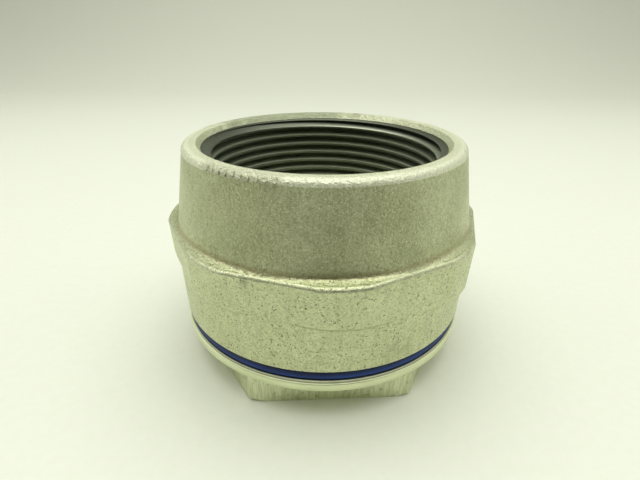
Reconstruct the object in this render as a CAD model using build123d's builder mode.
from build123d import *
from math import atan, degrees, radians, tan
import os

# A two-piece threaded conduit hub, screwed shut. The body takes a conduit from above and
# its nipple comes up from below, through the wall of an enclosure.
# The origin is the centre of the nipple's hexagon, on the face the fitting stands on.

# Heights above the standing face, mm
hex_height = 10.3
flange_height = 2.4
washer_thickness = 0.75
gap_height = 4.05
body_height = 49.75

flange_top = hex_height + flange_height
washer_bottom = flange_top + 0.05
washer_top = washer_bottom + washer_thickness
body_bottom = flange_top + gap_height
body_top = body_bottom + body_height

# Threads: eight to the inch, right-handed, 60 degree flanks
pitch = 25.4 / 8
flank = tan(radians(30))
taper = 1 / 32
conduit_major_radius = 35.8
conduit_minor_radius = 33.34
conduit_thread_end = body_top - 26.0
nipple_major_radius = 36.4
nipple_root_radius = 34.15
body_minor_radius = 34.5
body_major_radius = 36.75
body_thread_top = body_bottom + 20.25
nipple_top = body_thread_top - 0.7

# The body's outside
collar_top_radius = 41.3
collar_foot_radius = 45.0
ledge_height = body_top - 22.2
belt_apothem_top = 46.8
belt_apothem_foot = 45.9
belt_corner_radius = 48.45
belt_bore_radius = 43.0
belt_foot = body_top - 42.1
belt_turn = 7.0
skirt_radius = 46.2
skirt_foot_radius = 45.9
mouth_radius = 37.3
mouth_foot_radius = 36.0
mouth_depth = 1.8
lead_in_radius = 34.4
lead_in_depth = 2.3
first_crest_depth = 3.4

# The sealing ring and the recess it sits in
recess_radius = 44.9
recess_depth = 3.0
ring_outer_radius = 44.7
ring_inner_radius = 37.3
ring_corner = 1.3

# The nipple
flange_radius = 45.93
hex_apothem = 39.4
hex_corner_radius = 45.4
hex_turn = 4.4
passage_radius = 31.35
neck_radius = 33.9
neck_height = 3.5

# The insulating throat
throat_radius = 34.55
throat_seat_radius = 34.6
throat_seat_depth = 7.0
throat_mouth_radius = 33.6
bead_radius = 34.95
bead_groove_radius = 35.05
bead_height = 4.0


def thread_groove(tip_radius, base_radius, tip_half_width, start, turns, cone_angle=0):
    """A helical groove cutter that starts at the height start, on the +X side.

    Its tip is its narrow edge and its base is its wide one, so it cuts an inside thread
    when the tip is the larger radius, and an outside thread when it is the smaller.
    """
    depth = abs(tip_radius - base_radius)
    outward = 1 if tip_radius > base_radius else -1
    base_half_width = tip_half_width + depth * flank
    with BuildPart() as groove:
        with BuildLine() as path:
            Helix(
                pitch=pitch,
                height=pitch * turns,
                radius=base_radius,
                center=(0, 0, start),
                cone_angle=cone_angle,
            )
        with BuildSketch(Plane(origin=path.line @ 0, x_dir=(1, 0, 0), z_dir=path.line % 0)):
            Polygon(
                (0, -base_half_width),
                (outward * depth, -tip_half_width),
                (outward * depth, tip_half_width),
                (0, base_half_width),
                align=None,
            )
        sweep(path=path.line, is_frenet=True)
    return groove.part


# Tapered conduit thread: its crests keep the radius of the drilled hole, and its roots
# come in by one part in thirty-two towards the bottom.
first_groove_depth = 5.15
conduit_groove_turn = 74.0
conduit_groove_start = body_top - first_groove_depth - pitch / 4 - 6 * pitch
start_radius = conduit_major_radius - taper * (body_top - conduit_groove_start)
conduit_groove = thread_groove(
    start_radius,
    start_radius - 2.5,
    tip_half_width=0.08,
    start=conduit_groove_start,
    turns=9,
    cone_angle=degrees(atan(taper)),
)

# Straight thread that the nipple screws into, and the nipple's own. The nipple's groove
# stands half a pitch off the body's, so each ridge runs in the middle of a groove.
body_groove_start = body_bottom + pitch / 2
body_groove = thread_groove(
    body_major_radius,
    body_minor_radius - 0.05,
    tip_half_width=0.10,
    start=body_groove_start,
    turns=6,
)
nipple_groove = thread_groove(
    nipple_root_radius,
    nipple_major_radius + 0.05,
    tip_half_width=0.19,
    start=body_groove_start - 1.5 * pitch,
    turns=9,
)

# Octagonal belt for a wrench, with its corners turned down to a round
with BuildPart() as wrench_belt:
    with BuildSketch(Plane.XY.offset(belt_foot)):
        RegularPolygon(belt_apothem_foot, 8, major_radius=False, rotation=belt_turn)
    with BuildSketch(Plane.XY.offset(ledge_height)):
        RegularPolygon(belt_apothem_top, 8, major_radius=False, rotation=belt_turn)
    loft()
    with BuildSketch(Plane.XZ):
        Polygon(
            (0, belt_foot),
            (skirt_radius, belt_foot),
            (belt_corner_radius - 0.4, belt_foot + 4.0),
            (belt_corner_radius, ledge_height - 1.2),
            (belt_corner_radius - 0.7, ledge_height),
            (0, ledge_height),
            align=None,
        )
    revolve(axis=Axis.Z, mode=Mode.INTERSECT)
    fillet(wrench_belt.faces().sort_by(Axis.Z)[-1].edges(), radius=0.6)
    with BuildSketch(Plane.XY.offset(belt_foot)):
        Circle(belt_bore_radius)
    extrude(amount=ledge_height - belt_foot, mode=Mode.SUBTRACT)

# Cast body: collar, belt and skirt outside; two threads and the ring's recess inside.
# The casting has spare height and plain bores. It is threaded first, and then the mouth,
# the relief between the threads and the ring's recess are turned.
spare_height = 8.0
collar_slope = (collar_foot_radius - collar_top_radius) / (body_top - ledge_height)
relief_radius = body_major_radius + 0.35
recess_top = body_bottom + recess_depth
relief_fade = 1.4
lower_lead_in = 1.2
runout = 0.9
with BuildPart() as hub_body:
    with BuildSketch(Plane.XZ):
        Polygon(
            (body_minor_radius, body_bottom),
            (skirt_foot_radius, body_bottom),
            (skirt_radius, belt_foot + 3.0),
            (skirt_radius, ledge_height - 0.5),
            (collar_foot_radius, ledge_height + 0.5),
            (collar_top_radius - collar_slope * spare_height, body_top + spare_height),
            (conduit_minor_radius, body_top + spare_height),
            (conduit_minor_radius, conduit_thread_end - 0.4),
            (body_minor_radius, conduit_thread_end - runout),
            align=None,
        )
    revolve(axis=Axis.Z)
    add(wrench_belt.part)
    add(conduit_groove, rotation=(0, 0, conduit_groove_turn), mode=Mode.SUBTRACT)
    add(body_groove, mode=Mode.SUBTRACT)
    with BuildSketch(Plane.XZ):
        Polygon(
            (0, body_top - first_crest_depth),
            (conduit_minor_radius, body_top - first_crest_depth),
            (lead_in_radius, body_top - lead_in_depth),
            (mouth_foot_radius, body_top - mouth_depth),
            (mouth_radius, body_top),
            (collar_foot_radius, body_top),
            (collar_foot_radius, body_top + spare_height + 1),
            (0, body_top + spare_height + 1),
            align=None,
        )
        Polygon(
            (0, body_thread_top),
            (body_minor_radius, body_thread_top),
            (relief_radius, body_thread_top + runout),
            (relief_radius, conduit_thread_end - relief_fade),
            (conduit_minor_radius, conduit_thread_end),
            (0, conduit_thread_end),
            align=None,
        )
        Polygon(
            (0, body_bottom - 1),
            (recess_radius, body_bottom - 1),
            (recess_radius, recess_top),
            (body_major_radius, recess_top),
            (body_minor_radius, recess_top + lower_lead_in),
            (0, recess_top + lower_lead_in),
            align=None,
        )
    revolve(axis=Axis.Z, mode=Mode.SUBTRACT)
    collar_rim = hub_body.faces().filter_by(Axis.Z).sort_by(Axis.Z)[-1].outer_wire().edges()
    fillet(collar_rim, radius=2.0)

# Rubber ring in the body's lower face, which stands proud and meets the enclosure's wall
ring_bottom = washer_top + 0.15
ring_top = recess_top - 0.1
with BuildPart() as sealing_ring:
    with BuildSketch(Plane.XZ) as ring_section:
        with Locations(((ring_inner_radius + ring_outer_radius) / 2, (ring_bottom + ring_top) / 2)):
            Rectangle(ring_outer_radius - ring_inner_radius, ring_top - ring_bottom)
        fillet(ring_section.vertices(), radius=ring_corner)
    revolve(axis=Axis.Z)

# Thin steel washer: the nipple turns under it, so the ring above isn't dragged round
washer_radius = 45.6
washer_hole_radius = nipple_major_radius + 0.35
with BuildPart() as slip_washer:
    with BuildSketch(Plane.XY.offset(washer_bottom)):
        Circle(washer_radius)
        Circle(washer_hole_radius, mode=Mode.SUBTRACT)
    extrude(amount=washer_thickness)
    chamfer(slip_washer.edges().filter_by(GeomType.CIRCLE), length=0.12)

# Hexagon with its corners turned down, for the nipple below
with BuildPart() as hexagon:
    with BuildSketch():
        RegularPolygon(hex_apothem, 6, major_radius=False, rotation=hex_turn)
    extrude(amount=hex_height)
    with BuildSketch(Plane.XZ):
        Polygon(
            (0, 0),
            (hex_corner_radius - 1.6, 0),
            (hex_corner_radius, 1.2),
            (hex_corner_radius, hex_height),
            (0, hex_height),
            align=None,
        )
    revolve(axis=Axis.Z, mode=Mode.INTERSECT)

# Threaded shank: the groove is cut in spare stock, then the neck and the lead-in are turned
with BuildPart() as threaded_shank:
    with BuildSketch(Plane.XY.offset(flange_top - spare_height)):
        Circle(nipple_major_radius)
        Circle(passage_radius, mode=Mode.SUBTRACT)
    extrude(amount=nipple_top - flange_top + 2 * spare_height)
    add(nipple_groove, mode=Mode.SUBTRACT)
    with BuildSketch(Plane.XZ):
        Polygon(
            (0, flange_top - 1.0),
            (neck_radius, flange_top - 1.0),
            (neck_radius, flange_top + neck_height - 1.0),
            (nipple_major_radius + 0.1, flange_top + neck_height + 1.4),
            (nipple_major_radius + 0.1, nipple_top - 1.8),
            (nipple_root_radius, nipple_top),
            (0, nipple_top),
            align=None,
        )
    revolve(axis=Axis.Z, mode=Mode.INTERSECT)

# Nipple: hexagon, flange and threaded shank in one piece, bored through for the wires
with BuildPart() as hex_nipple:
    add(hexagon.part)
    with BuildSketch(Plane.XZ):
        Polygon(
            (0, hex_height - 1.0),
            (flange_radius - 1.2, hex_height - 1.0),
            (flange_radius, hex_height),
            (flange_radius, flange_top - 0.25),
            (flange_radius - 0.25, flange_top),
            (0, flange_top),
            align=None,
        )
    revolve(axis=Axis.Z)
    with BuildSketch(Plane.XZ):
        Polygon(
            (0, 0),
            (throat_seat_radius, 0),
            (throat_seat_radius, bead_height - 0.9),
            (bead_groove_radius, bead_height - 0.5),
            (bead_groove_radius, bead_height + 0.5),
            (throat_seat_radius, bead_height + 0.9),
            (throat_seat_radius, throat_seat_depth),
            (passage_radius, throat_seat_depth),
            (passage_radius, flange_top),
            (0, flange_top),
            align=None,
        )
    revolve(axis=Axis.Z, mode=Mode.SUBTRACT)
    add(threaded_shank.part)

# Plastic throat, snapped into the hexagon's end so that wires don't chafe on metal
throat_bottom = 0.3
throat_top = throat_seat_depth - 0.1
with BuildPart() as insulating_throat:
    with BuildSketch(Plane.XZ):
        with BuildLine():
            Polyline(
                (throat_mouth_radius, throat_bottom),
                (throat_radius, throat_bottom),
                (throat_radius, bead_height - 0.7),
                (bead_radius, bead_height - 0.3),
                (bead_radius, bead_height + 0.3),
                (throat_radius, bead_height + 0.7),
                (throat_radius, throat_top),
                (passage_radius, throat_top),
                (passage_radius, throat_bottom + 4.0),
            )
            ThreePointArc(
                (passage_radius, throat_bottom + 4.0),
                (passage_radius + 0.66, throat_bottom + 1.5),
                (throat_mouth_radius, throat_bottom),
            )
        make_face()
    revolve(axis=Axis.Z)

hub_body.part.label = "hub_body"
sealing_ring.part.label = "sealing_ring"
slip_washer.part.label = "slip_washer"
hex_nipple.part.label = "hex_nipple"
insulating_throat.part.label = "insulating_throat"

os.makedirs("parts", exist_ok=True)
export_step(hub_body.part, "parts/hub_body.step")
export_step(sealing_ring.part, "parts/sealing_ring.step")
export_step(slip_washer.part, "parts/slip_washer.step")
export_step(hex_nipple.part, "parts/hex_nipple.step")
export_step(insulating_throat.part, "parts/insulating_throat.step")
